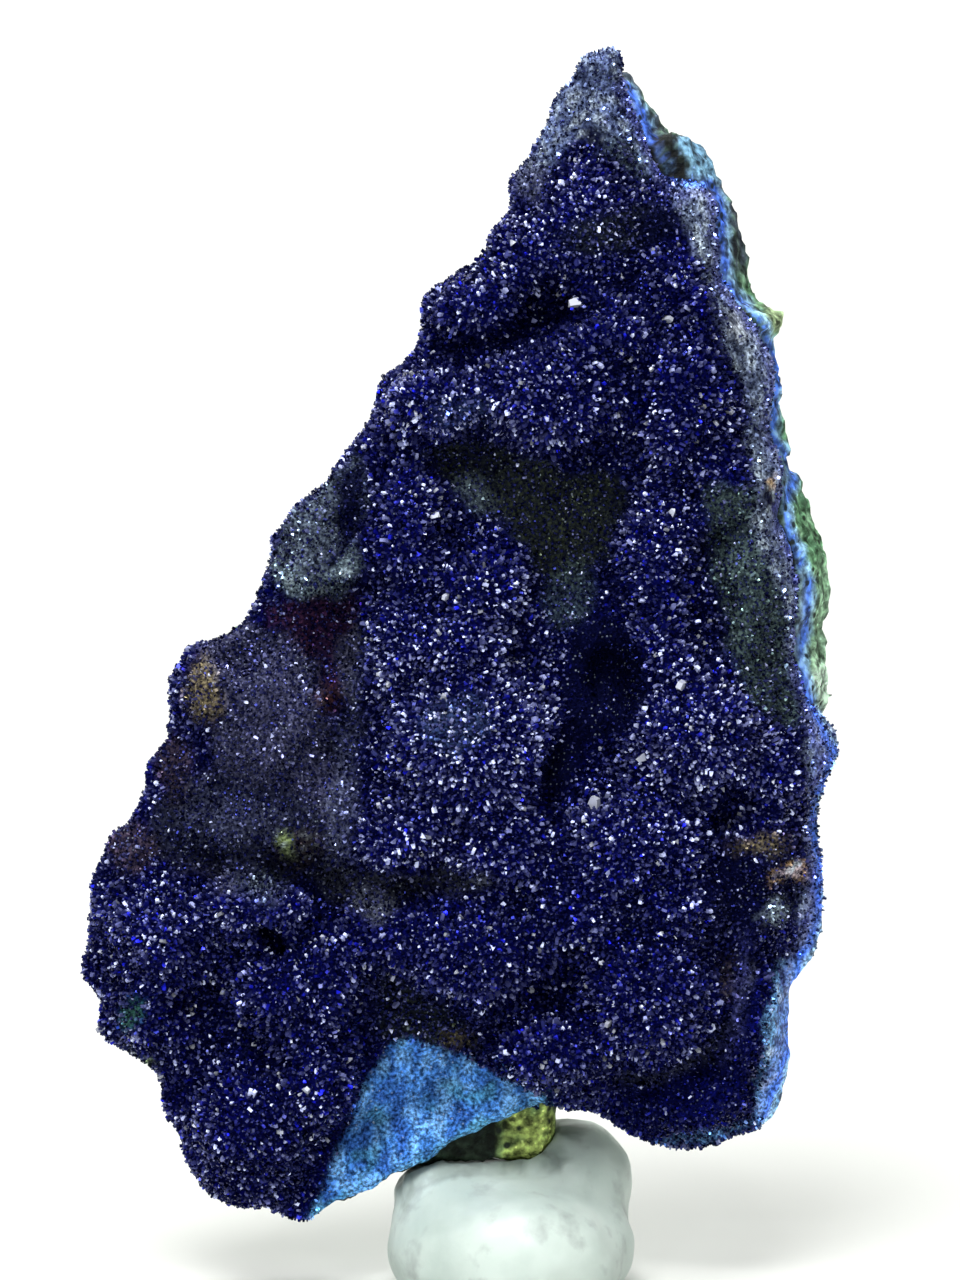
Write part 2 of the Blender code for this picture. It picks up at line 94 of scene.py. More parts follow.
def wobble(points, size, reach):
    """Points shifted by a few waves, so that the edge of a patch isn't a clean curve."""
    x, z = points[:, 0] / size, points[:, 1] / size
    along = np.sin(2.1 * x + 1.7 * z) + np.sin(4.3 * x - 3.1 * z + 1.0) * 0.6
    along += np.sin(7.9 * z + 5.2 * x) * 0.4
    up = np.sin(1.9 * z - 2.3 * x + 2.0) + np.sin(4.7 * z + 3.7 * x) * 0.6
    up += np.sin(8.3 * x - 6.1 * z) * 0.4
    return points + reach * np.stack([along, up], -1)


def inside_ellipse(points, middle, radii, turn, soft):
    """1 inside an ellipse and 0 outside it, with an edge that is soft over some millimetres."""
    offset = points - to_face(middle)
    angle = math.radians(turn)
    along = offset[:, 0] * math.cos(angle) + offset[:, 1] * math.sin(angle)
    across = offset[:, 1] * math.cos(angle) - offset[:, 0] * math.sin(angle)
    wide, tall = radii[0] * PIXEL, radii[1] * PIXEL
    reach = np.hypot(along / wide, across / tall)
    return np.clip(0.5 + (1.0 - reach) * min(wide, tall) / soft, 0.0, 1.0)


def inside_outline(points, corners, soft):
    """1 inside a closed outline and 0 outside it, soft over some millimetres at the edge."""
    corners = to_face(corners)
    inside = np.zeros(len(points), bool)
    nearest = np.full(len(points), 1e9)
    for start, end in zip(corners, np.roll(corners, -1, axis=0)):
        side = end - start
        share = np.clip((points - start) @ side / (side @ side), 0.0, 1.0)
        nearest = np.minimum(nearest, np.linalg.norm(points - start - share[:, None] * side, axis=1))
        crosses = (start[1] > points[:, 1]) != (end[1] > points[:, 1])
        rise = np.where(np.abs(side[1]) < 1e-9, 1e-9, side[1])
        at = start[0] + (points[:, 1] - start[1]) / rise * side[0]
        inside ^= crosses & (points[:, 0] < at)
    return np.clip(0.5 + np.where(inside, nearest, -nearest) / soft, 0.0, 1.0)


# %% [markdown]
# ## The mineral colours
#
# Each colour is a base colour in linear light. Azurite is nearly black where it is thick and vivid where it
# is thin or broken, so the same mineral needs several blues. The last number of a patch is its glitter:
# 1 where the crystals are large and bright, near 0 where the surface is dull and velvety.

# %% Colours
INDIGO = (0.0010, 0.0014, 0.060)
INK = (0.0008, 0.0010, 0.009)
DEEP_INDIGO = (0.0012, 0.0018, 0.044)
OLIVE_BLACK = (0.014, 0.018, 0.007)
GREEN_GREY = (0.034, 0.052, 0.048)
SLATE = (0.070, 0.080, 0.125)
TIP_SLATE = (0.085, 0.115, 0.215)
SECTION_GREY = (0.150, 0.190, 0.285)
SECTION_BLUE = (0.110, 0.165, 0.420)
TEAL_SLATE = (0.062, 0.080, 0.100)
PALE_TEAL = (0.180, 0.250, 0.280)
TURQUOISE = (0.150, 0.310, 0.460)
COBALT = (0.060, 0.160, 0.700)
STREAK_BLUE = (0.020, 0.070, 0.300)
STREAK_TEAL = (0.050, 0.200, 0.260)
PALE_GRAIN = (0.360, 0.430, 0.480)
DARK_PIT = (0.016, 0.022, 0.045)
FAR_SIDE = (0.020, 0.040, 0.060)
LINE_RIM = (0.270, 0.480, 0.700)
VIOLET = (0.080, 0.090, 0.360)
AZURE = (0.045, 0.165, 0.480)
LIGHT_AZURE = (0.190, 0.440, 0.800)
SEA_GREEN = (0.060, 0.190, 0.230)
LAVENDER_GREY = (0.044, 0.046, 0.078)
ASH = (0.017, 0.020, 0.034)
CREASE_GREY = (0.046, 0.052, 0.060)
MAROON = (0.026, 0.009, 0.018)
RUST = (0.040, 0.016, 0.010)
BROWN = (0.030, 0.022, 0.018)
OCHRE = (0.120, 0.100, 0.048)
GOLD = (0.700, 0.450, 0.150)
SILVER = (0.220, 0.280, 0.330)
LIME = (0.330, 0.440, 0.170)
MOSS = (0.030, 0.110, 0.060)
WHITE_GREY = (0.420, 0.460, 0.500)
PAINTED_GLINT_BLUE = (0.160, 0.260, 0.420)

# %% Round patches: middle, radii, turn, colour, strength, glitter
SPOTS = {
    # Painted highlights: pale blue where the druse's glints cluster.
    "great dome glints": ((447, 712), (34, 26), 20, PAINTED_GLINT_BLUE, 0.18, 1.0),
    "brow glints": ((455, 412), (30, 16), 0, PAINTED_GLINT_BLUE, 0.12, 1.0),
    "spire shade": ((612, 232), (60, 22), 12, OLIVE_BLACK, 0.75, 0.3),
    "dark notch": ((652, 228), (24, 20), 0, INK, 0.85, 0.15),
    "grey edge of the spire": ((521, 180), (15, 30), 15, SLATE, 0.85, 0.1),
    "speckled lip": ((615, 158), (34, 14), -30, PALE_TEAL, 0.45, 0.2),
    "step shade": ((522, 322), (112, 11), 22, INK, 0.80, 0.2),
    "hollow's pale corner": ((466, 492), (12, 22), 40, PALE_TEAL, 0.40, 0.3),
    "hollow's grey tail": ((562, 592), (26, 34), -20, GREEN_GREY, 0.75, 0.2),
    # Painted shade in the deep hollow and cleft beside the great dome.
    "shaded hollow": ((596, 676), (42, 64), 0, INK, 0.97, 0.06),
    "shaded cleft": ((553, 755), (20, 48), -20, INK, 0.97, 0.06),
    "ochre knob": ((198, 688), (19, 34), 8, OCHRE, 0.90, 0.35),
    "brown beads": ((166, 765), (20, 34), 0, BROWN, 0.80, 0.3),
    "brown rim": ((126, 848), (26, 24), 30, BROWN, 0.80, 0.3),
    "rust hole": ((322, 692), (11, 14), 0, RUST, 0.80, 0.1),
    "brown hollow": ((290, 846), (26, 20), 10, BROWN, 0.85, 0.1),
    "lime speck": ((279, 843), (8, 13), 10, LIME, 0.95, 0.0),
    "teal smudge": ((255, 880), (22, 12), 0, TEAL_SLATE, 0.70, 0.3),
    # Painted shade in the crease between the hip's lobes.
    "shaded hip cleft": ((262, 928), (9, 28), 38, INK, 0.90, 0.3),
    "yellow brown": ((450, 1040), (16, 13), 0, OCHRE, 0.55, 0.3),
    "moss pit": ((125, 1011), (9, 18), -15, MOSS, 0.95, 0.1),
    "pale fringe": ((134, 1062), (14, 5), -25, LIME, 0.60, 0.0),
    "stained black": ((744, 880), (50, 50), 0, INK, 0.95, 0.25),
    "stained brown": ((755, 836), (36, 9), 0, OCHRE, 0.60, 0.3),
    "gold stain": ((781, 868), (15, 8), 0, GOLD, 0.95, 0.0),
    "silver stain": ((766, 906), (15, 9), 20, SILVER, 0.85, 0.2),
    "olive stain": ((720, 972), (9, 20), 0, OCHRE, 0.45, 0.2),
    "violet pocket": ((803, 920), (9, 22), -8, VIOLET, 0.90, 0.1),
    "pale rim below": ((702, 1137), (44, 6), 12, LIGHT_AZURE, 0.45, 0.3),
    "white patch": ((724, 325), (7, 14), 30, WHITE_GREY, 0.75, 0.0),
    "black edge hole": ((759, 497), (9, 15), 15, INK, 1.0, 0.0),
    "gold speck": ((763, 483), (4, 3), 0, GOLD, 1.0, 0.0),
    "side hole": ((791, 738), (5, 10), 15, INK, 1.0, 0.0),
    "tip hole": ((583, 141), (20, 8), -30, INK, 1.0, 0.0),
    "tip pinhole": ((577, 82), (5, 5), 0, INK, 1.0, 0.0),
}

# %% Outlined patches: corners, colour, strength, glitter
FIELDS = {
    "left boss": (
        [(192, 640), (245, 620), (300, 640), (322, 680), (332, 760), (330, 850), (280, 880), (210, 882),
         (150, 856), (146, 800), (205, 760), (212, 700)], LAVENDER_GREY, 0.90, 0.35),
    "dark mass": (
        [(150, 805), (215, 770), (300, 790), (330, 830), (325, 868), (235, 878), (190, 862), (140, 850)],
        ASH, 0.85, 0.30),
    "maroon recess": (
        [(252, 602), (300, 596), (354, 588), (352, 640), (345, 705), (322, 712), (308, 660), (262, 622)],
        MAROON, 0.95, 0.35),
    "curl": (
        [(264, 548), (280, 510), (318, 480), (352, 448), (360, 480), (354, 560), (346, 592), (300, 598),
         (268, 578)], TEAL_SLATE, 0.95, 0.25),
    # Painted shade inside the curl. Its pale rim is partly the rim's own pale teal and partly painted light.
    "shaded curl recess": (
        [(332, 468), (356, 462), (360, 540), (346, 570), (324, 564), (332, 520)], INK, 0.95, 0.25),
    "lit curl rim": (
        [(266, 556), (282, 560), (304, 580), (330, 570), (346, 540), (350, 562), (334, 592), (300, 598),
         (272, 580)], PALE_TEAL, 0.55, 0.05),
    "slate flank": (
        [(330, 640), (357, 620), (356, 700), (352, 790), (344, 872), (316, 870), (324, 780), (334, 710)],
        SLATE, 0.70, 0.30),
    "grey crease": (
        [(296, 878), (330, 862), (400, 868), (480, 858), (492, 878), (400, 892), (372, 912), (330, 904)],
        CREASE_GREY, 0.85, 0.20),
    "olive hollow": (
        [(416, 450), (462, 434), (512, 450), (560, 470), (612, 470), (618, 515), (594, 560), (560, 588),
         (528, 572), (512, 538), (476, 506), (446, 482)], OLIVE_BLACK, 1.0, 0.22),
    "grey oval": (
        [(690, 486), (735, 478), (762, 520), (776, 600), (792, 690), (788, 726), (745, 702), (716, 640),
         (700, 560)], GREEN_GREY, 1.0, 0.22),
    "brown druse": (
        [(370, 958), (408, 985), (455, 1018), (474, 1052), (430, 1052), (370, 1046)], OLIVE_BLACK, 0.95, 0.8),
    "tip": (
        [(560, 60), (612, 30), (660, 110), (676, 150), (660, 192), (640, 178), (622, 146), (596, 138),
         (560, 150), (536, 178), (520, 160)], TIP_SLATE, 0.95, 0.10),
    "tip band": (
        [(622, 96), (640, 112), (656, 146), (672, 158), (664, 190), (648, 176), (632, 134)],
        VIOLET, 0.75, 0.0),
    "broken edge": (
        [(664, 196), (682, 176), (724, 172), (745, 250), (790, 330), (840, 560), (846, 720), (830, 800),
         (800, 800), (794, 720), (782, 660), (773, 600), (757, 556), (744, 520), (742, 480), (736, 440),
         (734, 400), (716, 352), (706, 310), (688, 276), (680, 246), (668, 216)], SECTION_GREY, 1.0, 0.10),
    "low section": (
        [(796, 780), (830, 770), (816, 840), (830, 900), (820, 960), (790, 990), (768, 980), (790, 940),
         (790, 900), (800, 850)], SECTION_GREY, 1.0, 0.10),
    "turquoise notch": (
        [(656, 172), (668, 142), (700, 128), (726, 176), (704, 186), (676, 188)], TURQUOISE, 0.85, 0.0),
    "layered toe": (
        [(744, 940), (762, 1000), (758, 1112), (704, 1150), (640, 1144), (600, 1096), (660, 1086),
         (715, 1056), (740, 1005)], DEEP_INDIGO, 0.90, 0.5),
    "toe line": (
        [(748, 955), (737, 1010), (706, 1057), (655, 1081), (608, 1086), (610, 1072), (650, 1066),
         (698, 1044), (725, 1004), (735, 950)], CREASE_GREY, 0.70, 0.3),
    "toe violet line": (
        [(738, 930), (733, 1000), (722, 1062), (716, 1060), (726, 1000), (731, 930)], VIOLET, 0.60, 0.3),
    "light band": (
        [(764, 975), (802, 948), (802, 1060), (776, 1132), (748, 1140), (756, 1050)], LIGHT_AZURE, 1.0, 0.0),
}

# The broken lower face. Its bottom edge turns sea green, and its left edge is a line of deep blue.
AZURE_FACE = [(384, 1044), (404, 1038), (430, 1050), (470, 1063), (500, 1080), (545, 1103), (470, 1150),
              (400, 1200), (340, 1240), (290, 1250), (330, 1150), (352, 1090)]
AZURE_FOOT = [(540, 1096), (470, 1128), (400, 1164), (345, 1205), (300, 1215), (300, 1250), (400, 1210),
              (545, 1115)]
AZURE_EDGE = [(384, 1044), (356, 1090), (334, 1150), (304, 1225), (284, 1235), (318, 1150), (340, 1086),
              (372, 1040)]

# The bright blue line where crust and rock meet, from the tip down along the broken right edge.
EDGE_LINE = [(622, 92), (633, 112), (645, 142), (656, 166), (664, 186), (684, 182), (704, 184), (714, 200),
             (717, 240), (719, 282), (738, 304), (757, 328), (770, 356), (776, 385), (769, 412), (768, 436),
             (784, 458), (790, 481), (780, 506), (780, 528), (794, 556), (803, 582), (803, 614), (798, 643),
             (797, 673), (806, 702), (816, 731), (828, 752), (818, 782), (806, 806), (810, 840), (816, 880),
             (812, 930), (794, 966), (789, 1000), (785, 1050), (772, 1090), (758, 1125)]

# How bright the druse's painted glints are from lobe to lobe: middle, radii, level. Elsewhere it is
# DULL_DRUSE.
DULL_DRUSE = 0.42
GLINTING = {
    "great dome": ((468, 700), (125, 115), 1.15), "right dome": ((672, 745), (115, 95), 1.05),
    "waist": ((440, 825), (130, 50), 0.90), "brow": ((480, 405), (120, 60), 0.85),
    "right rib": ((650, 520), (50, 90), 0.75), "spire": ((560, 225), (70, 60), 0.90),
    "hip": ((180, 905), (90, 55), 0.60), "heel": ((235, 1120), (75, 70), 0.36),
    "disc": ((620, 960), (95, 90), 0.38), "toe": ((685, 1105), (90, 45), 0.10),
    "outer shell": ((745, 1000), (22, 90), 0.12),
}
print(len(SPOTS), "round patches,", len(FIELDS), "outlined ones and", len(GLINTING), "glinting lobes")


# %% Painting places
def face_colours(points, edge=0.7):
    """The colour and the glitter of points of the crust's face, given as x and z in millimetres."""
    colour = np.tile(np.array(INDIGO), (len(points), 1))
    glitter = np.ones(len(points))
    shaken = wobble(points, 1.6, 0.22)

    def paint(amount, paint_colour, strength, gloss):
        nonlocal colour, glitter
        amount = amount * strength
        colour = colour + amount[:, None] * (np.array(paint_colour) - colour)
        glitter = glitter + amount * (gloss - glitter)

    for corners, patch, strength, gloss in FIELDS.values():
        paint(inside_outline(shaken, corners, edge), patch, strength, gloss)
    for middle, radii, turn, patch, strength, gloss in SPOTS.values():
        paint(inside_ellipse(shaken, middle, radii, turn, edge), patch, strength, gloss)
    fine = wobble(points, 1.0, 0.1)
    paint(inside_outline(fine, AZURE_FACE, 0.25), AZURE, 1.0, 0.0)
    paint(inside_outline(shaken, AZURE_FOOT, 1.0), SEA_GREEN, 0.6, 0.0)
    paint(inside_outline(fine, AZURE_EDGE, 0.5), INDIGO, 0.75, 0.2)
    return colour, glitter


def glint_level(points):
    """How bright the painted glints of the druse are at points of the face."""
    level = np.full(len(points), DULL_DRUSE)
    for middle, radii, lobe_level in GLINTING.values():
        level += inside_ellipse(points, middle, radii, 0, 3.5) * (lobe_level - level)
    return level


def beside_line(points, places):
    """How far points lie from a line, in millimetres: above 0 on the crust's side, below on the rock's."""
    line = to_face(places)
    nearest = np.full(len(points), 1e9)
    turn = np.zeros(len(points))
    for start, end in zip(line[:-1], line[1:]):
        along = end - start
        share = np.clip((points - start) @ along / (along @ along), 0.0, 1.0)
        offset = points - start - share[:, None] * along
        distance = np.linalg.norm(offset, axis=1)
        closer = distance < nearest
        nearest[closer] = distance[closer]
        turn[closer] = (along[1] * offset[:, 0] - along[0] * offset[:, 1])[closer]
    return nearest * np.sign(turn)


def band(values, low, high, soft=0.2):
    """1 for values between two limits and 0 outside them, with soft ends."""
    return np.clip(0.5 + (values - low) / soft, 0.0, 1.0) * np.clip(0.5 + (high - values) / soft, 0.0, 1.0)


def cloud(places, size, octaves=3):
    """Soft noise at places in space, mostly between -1 and 1, with features of a size in millimetres."""
    scale = 1.0 / (size * MM)
    return np.array([noise.fractal(Vector(place) * scale, 0.8, 2.0, octaves) for place in places])


def blend(colour, amount, other):
    """Move colours towards another colour by an amount for each point."""
    return colour + amount[:, None] * (np.array(other) - colour)


# %% [markdown]
# ## Fine skins
#
# The solids are faceted, with a few thousand triangles. A real broken or grown surface has detail down to
# a tenth of a millimetre. Subdividing the facets would keep their edges visible, so each solid is copied, its
# loose triangles are merged, and a voxel remesh gives it an even fine skin. Displace modifiers then add the
# grain. The skin is drawn in a little first, so that crystals on it still end inside the solid's own box.

# %% Copy and refine a solid
VIEW = bpy.context.view_layer


def only(obj):
    """Select one object alone and make it active."""
    bpy.ops.object.select_all(action="DESELECT")
    obj.select_set(True)
    VIEW.objects.active = obj


def apply_all(obj):
    """Apply the modifiers of an object, in their order."""
    only(obj)
    for modifier in list(obj.modifiers):
        bpy.ops.object.modifier_apply(modifier=modifier.name)


def relief(obj, kind, size, strength, middle=0.5):
    """Add a Displace modifier with a cloud or cell texture. Its size and strength are in millimetres."""
    pattern = bpy.data.textures.new(f"{obj.name} {kind} {size}", kind)
    pattern.noise_scale = size * MM
    modifier = obj.modifiers.new("Relief", "DISPLACE")
    modifier.texture = pattern
    modifier.texture_coords = "LOCAL"
    modifier.strength = strength * MM
    modifier.mid_level = middle


def fine_skin(node, name, voxel, smoothing, drawn_in):
    """A fine, even copy of a solid, drawn in along its normals. Lengths are in millimetres."""
    skin = bpy.data.objects.new(name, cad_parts[node].data.copy())
    bpy.context.scene.collection.objects.link(skin)
    skin.data.materials.clear()
    only(skin)
    bpy.ops.object.mode_set(mode="EDIT")
    bpy.ops.mesh.select_all(action="SELECT")
    bpy.ops.mesh.remove_doubles(threshold=0.002 * MM)
    bpy.ops.object.mode_set(mode="OBJECT")
    remesh = skin.modifiers.new("Even skin", "REMESH")
    remesh.mode = "VOXEL"
    remesh.voxel_size = voxel * MM
    smooth = skin.modifiers.new("Soften", "SMOOTH")
    smooth.factor = 0.5
    smooth.iterations = smoothing
    if drawn_in:
        inset = skin.modifiers.new("Draw in", "DISPLACE")
        inset.strength = -drawn_in * MM
        inset.mid_level = 0.0
    apply_all(skin)
    print(name, "has", len(skin.data.polygons), "faces")
    return skin


def vertex_arrays(obj):
    """The places and the normals of an object's vertices, as arrays, in metres."""
    count = len(obj.data.vertices)
    places = np.empty(count * 3, np.float32)
    normals = np.empty(count * 3, np.float32)
    obj.data.vertices.foreach_get("co", places)
    obj.data.vertex_normals.foreach_get("vector", normals)
    return places.reshape(-1, 3).astype(float), normals.reshape(-1, 3).astype(float)


# %% The two skins of the stone
crust = fine_skin("azurite_crust", "azurite_skin", 0.42, 3, 0.22)
relief(crust, "CLOUDS", 1.5, 0.32)
relief(crust, "VORONOI", 0.9, -0.22, 0.4)
apply_all(crust)
rock = fine_skin("malachite_matrix", "malachite_rock", 0.44, 2, 0.10)
relief(rock, "CLOUDS", 2.4, 0.55)
relief(rock, "VORONOI", 1.1, -0.50, 0.4)
relief(rock, "CLOUDS", 0.6, 0.18)
apply_all(rock)

# %% [markdown]
# ## Closing the seam
#
# The two solids keep a thin gap, because separate solids must not touch. In the real stone the layers grew on
# each other. Filling the gap with a third piece would add something that doesn't exist, so the two skins are
# pulled towards each other instead: each point near the other skin moves over to it by part of the way.

# %% Pull the skins together
SEAM_REACH = 1.40 * MM
SEAM_SHARE = 0.62


def surface_tree(obj):
    """A search tree over an object's faces."""
    return BVHTree.FromObject(obj, bpy.context.evaluated_depsgraph_get())


def distances(places, tree, reach):
    """For each place, the nearest point of a surface within reach, and how far it is."""
    nearest = places.copy()
    away = np.full(len(places), reach)
    for index, place in enumerate(places):
        point, _, _, distance = tree.find_nearest(Vector(place), reach)
        if point is not None:
            nearest[index] = point
            away[index] = distance
    return nearest, away


def store_places(obj, places):
    """Write an object's vertex places back."""
    obj.data.vertices.foreach_set("co", places.astype(np.float32).ravel())
    obj.data.update()


crust_places, _ = vertex_arrays(crust)
rock_places, _ = vertex_arrays(rock)
crust_near, crust_gap = distances(crust_places, surface_tree(rock), 3.0 * MM)
rock_near, rock_gap = distances(rock_places, surface_tree(crust), SEAM_REACH)
for skin, places, near, gap in (
    (crust, crust_places, crust_near, crust_gap),
    (rock, rock_places, rock_near, rock_gap),
):
    share = np.clip(1.3 - gap / SEAM_REACH, 0.0, SEAM_SHARE)[:, None]
    store_places(skin, places + share * (near - places))
print("crust points within the seam:", int((crust_gap < SEAM_REACH).sum()))

# %% [markdown]
# ## Colour on the skins
#
# The skins are dense enough to carry colour on their points. A colour attribute is a good home for it: it
# needs no unwrapping, and the shader can still add finer grain on top.
#
# Where the crust ends against the rock there is a line of vivid blue, pale on its outer side, with a violet
# band within. It is drawn as a line down the broken edge, and the bands follow from the distance to it. Both
# skins take it, so that it doesn't break where one skin ends.

# %% Domes and creases
# Smoothing a copy of a skin sinks its domes and fills its creases. The difference tells them apart.


def crown(obj, rounds):
    """How far each point stands out of the smoothed form around it, in millimetres. Creases are negative."""
    smoothed = obj.copy()
    smoothed.data = obj.data.copy()
    bpy.context.scene.collection.objects.link(smoothed)
    softener = smoothed.modifiers.new("Flatten", "SMOOTH")
    softener.factor = 0.5
    softener.iterations = rounds
    apply_all(smoothed)
    flat_places, _ = vertex_arrays(smoothed)
    mesh = smoothed.data
    bpy.data.objects.remove(smoothed)
    bpy.data.meshes.remove(mesh)
    places, normals = vertex_arrays(obj)
    return np.einsum("ij,ij->i", places - flat_places, normals) / MM


crust_crown = crown(crust, 140)
rock_crown = crown(rock, 60)
print("crown of the crust, 5% and 95%:", np.percentile(crust_crown, [5, 50, 95]).round(2))

# %% Paint the crust


def write_attribute(obj, name, values):
    """Store a colour or a number on each vertex of an object."""
    if values.ndim == 2:
        layer = obj.data.color_attributes.new(name, "FLOAT_COLOR", "POINT")
        filled = np.concatenate([values, np.ones((len(values), 1))], 1)
        layer.data.foreach_set("color", filled.astype(np.float32).ravel())
    else:
        layer = obj.data.attributes.new(name, "FLOAT", "POINT")
        layer.data.foreach_set("value", values.astype(np.float32))


def edge_bands(points, colour, amount):
    """Add the bands of the broken edge to colours: a violet band, the blue line and its pale rim."""
    away = beside_line(wobble(points, 0.9, 0.10), EDGE_LINE)
    colour = blend(colour, 0.60 * amount * band(away, 0.40, 1.30, 0.7), VIOLET)
    colour = blend(colour, 0.90 * amount * band(away, -0.20, 0.45, 0.35), COBALT)
    return blend(colour, 0.75 * amount * band(away, -0.50, -0.18), LINE_RIM)


crust_places, crust_normals = vertex_arrays(crust)
face_points = crust_places[:, [0, 2]] / MM
skin_colour, skin_glitter = face_colours(face_points)
coarse, fine = cloud(crust_places, 2.6), cloud(crust_places, 0.9, 2)

# The lower broken face is streaked with deep blue, pale blue and teal.
on_face = inside_outline(face_points, AZURE_FACE, 0.4)
streaks = cloud(crust_places * np.array((1.6, 1.0, 0.7)), 1.6)
skin_colour = blend(skin_colour, on_face * np.clip(1.6 * streaks, 0.0, 0.75), STREAK_BLUE)
skin_colour = blend(skin_colour, on_face * np.clip(-1.5 * streaks, 0.0, 0.65), LIGHT_AZURE)
skin_colour = blend(skin_colour, on_face * np.clip(1.8 * coarse - 0.2, 0.0, 0.55), STREAK_TEAL)

# The broken edge is granular: grey near the druse and bluer below, with white grains and dark pits.
broken = np.clip(2.4 - 12.0 * skin_glitter, 0.0, 1.0) * (1.0 - on_face)
broken *= np.clip(skin_colour.sum(axis=1) / 0.10 - 0.2, 0.0, 1.0)
low_down = band(face_points[:, 1], 25.0, 48.0, 8.0)
skin_colour = blend(skin_colour, 0.55 * broken * low_down * (face_points[:, 0] > 20.0), SECTION_BLUE)
skin_colour = blend(skin_colour, broken * np.clip(2.4 * fine - 0.30, 0.0, 0.75), PALE_GRAIN)
skin_colour = blend(skin_colour, broken * np.clip(-2.6 * fine - 0.25, 0.0, 0.85), DARK_PIT)
at_side = (face_points[:, 0] > 9.0) * np.clip(1.0 - skin_glitter * 1.4, 0.0, 1.0)
skin_colour = edge_bands(face_points, skin_colour, at_side)

# Behind and at the far edges the crust is dull and dark.
away_from_front = np.clip(crust_normals[:, 1] * 2.0 - 0.2, 0.0, 1.0)
skin_colour = blend(skin_colour, 0.8 * away_from_front, FAR_SIDE)
skin_glitter *= 1.0 - away_from_front
# Painted light and shade: domes are lightened and creases darkened, as if light fell on the relief, and the
# skin is darker where crystals grow thickly.
painted_relief_shading = np.clip(0.92 + 0.9 * crust_crown, 0.35, 1.5)
skin_colour *= (painted_relief_shading * (1.0 - 0.5 * skin_glitter))[:, None]
write_attribute(crust, "mineral", skin_colour)
write_attribute(crust, "glitter", skin_glitter)
print("mean glitter of the crust:", round(float(skin_glitter.mean()), 2))

# %% Paint the rock
ROCK_GREEN = (0.150, 0.330, 0.170)
ROCK_PALE = (0.380, 0.580, 0.400)
ROCK_DEEP = (0.040, 0.100, 0.060)
ROCK_BROWN = (0.070, 0.050, 0.024)
ROCK_DARK = (0.046, 0.062, 0.080)
ROCK_SHADE = (0.003, 0.004, 0.003)
PALE_CRUMB = (0.560, 0.740, 0.600)
OLIVE_CRUMB = (0.240, 0.300, 0.160)
FOOT_GREEN = (0.330, 0.420, 0.110)
FOOT_SHADE = (0.050, 0.110, 0.045)
FOOT_TOP = 15.4 * MM
FOOT_MIDDLE = 5.1
FOOT_HALF_WIDTH = 2.4
rock_places, rock_normals = vertex_arrays(rock)
rock_face = rock_places[:, [0, 2]] / MM
height = rock_face[:, 1]
coarse, fine = cloud(rock_places, 3.0), cloud(rock_places, 1.0, 2)
rock_colour = np.tile(np.array(ROCK_GREEN), (len(rock_places), 1))
rock_colour = blend(rock_colour, np.clip(0.9 * coarse + 0.5 * fine, 0.0, 0.8), ROCK_PALE)
rock_colour = blend(rock_colour, np.clip(-1.2 * coarse - 0.5 * fine, 0.0, 0.8), ROCK_DEEP)
rock_colour = blend(rock_colour, band(height, 44.5, 54.0, 3.0) * 0.45, ROCK_PALE)
brown_patches = np.clip(2.5 * cloud(rock_places, 9.0) - 0.5, 0.0, 0.7) * (rock_normals[:, 1] > 0.2)
rock_colour = blend(rock_colour, brown_patches, ROCK_BROWN)
dark_top = np.clip((height - 75.5) / 2.0, 0.0, 1.0) * np.clip(1.0 - 0.8 * fine, 0.5, 1.0)
rock_colour = blend(rock_colour, dark_top, ROCK_DARK)

# The broken right side has its own patches. Below its green stretch it is blue like the crust.
broken_side = np.clip(rock_normals[:, 0] * 3.0 - 0.4, 0.0, 1.0) * (rock_face[:, 0] > 11.0)
shaken_face = wobble(rock_face, 1.6, 0.3)
for corners, colour, strength in (
    (FIELDS["turquoise notch"][0], TURQUOISE, 0.8),
    ([(806, 668), (850, 668), (850, 716), (812, 716)], PALE_CRUMB, 0.8),
    ([(757, 300), (800, 300), (800, 338), (766, 338)], OLIVE_CRUMB, 0.8),
    ([(774, 716), (870, 716), (870, 1140), (730, 1140)], SECTION_BLUE, 0.9),
):
    amount = inside_outline(shaken_face, corners, 0.8) * strength * broken_side
    rock_colour = blend(rock_colour, amount, colour)
rock_colour = edge_bands(rock_face, rock_colour, broken_side)

# Rock that shows from the front at the left and below is painted nearly black: painted shade, where it lies
# in the shadow of the crust and beside the putty.
foot = np.clip((FOOT_TOP - rock_places[:, 2]) / (0.8 * MM), 0.0, 1.0)
foot *= np.clip((FOOT_HALF_WIDTH - np.abs(rock_face[:, 0] - FOOT_MIDDLE)) / 0.6, 0.0, 1.0)
in_front = np.clip((5.0 * MM - rock_places[:, 1]) / (2.0 * MM), 0.0, 1.0)
front_rock_shade = (1.0 - foot) * (1.0 - broken_side) * in_front
rock_colour = blend(rock_colour, 0.97 * front_rock_shade, ROCK_SHADE)
rock_colour = blend(rock_colour, foot, FOOT_GREEN)
# Painted shade: the foot darkens towards its top, under the crust, broken by a fine cloud.
foot_shade = np.clip(0.3 - 1.6 * fine + (height - 13.0) / 6.0, 0.0, 0.9)
rock_colour = blend(rock_colour, foot * foot_shade, FOOT_SHADE)
# Painted light and shade on the rock: lighter on its domes, darker in its creases.
rock_colour *= np.clip(0.85 + 1.1 * rock_crown, 0.2, 1.6)[:, None]
write_attribute(rock, "mineral", rock_colour)
print("rock points on the foot:", int((foot > 0.5).sum()))

# %% [markdown]
# ## Shader helpers
#
# A shader is a small graph. These helpers keep the graphs short: one adds a node, one links two sockets, and
# one makes a noise or cell pattern in Object coordinates, so that a pattern keeps its real size.

# %% Small graph tools


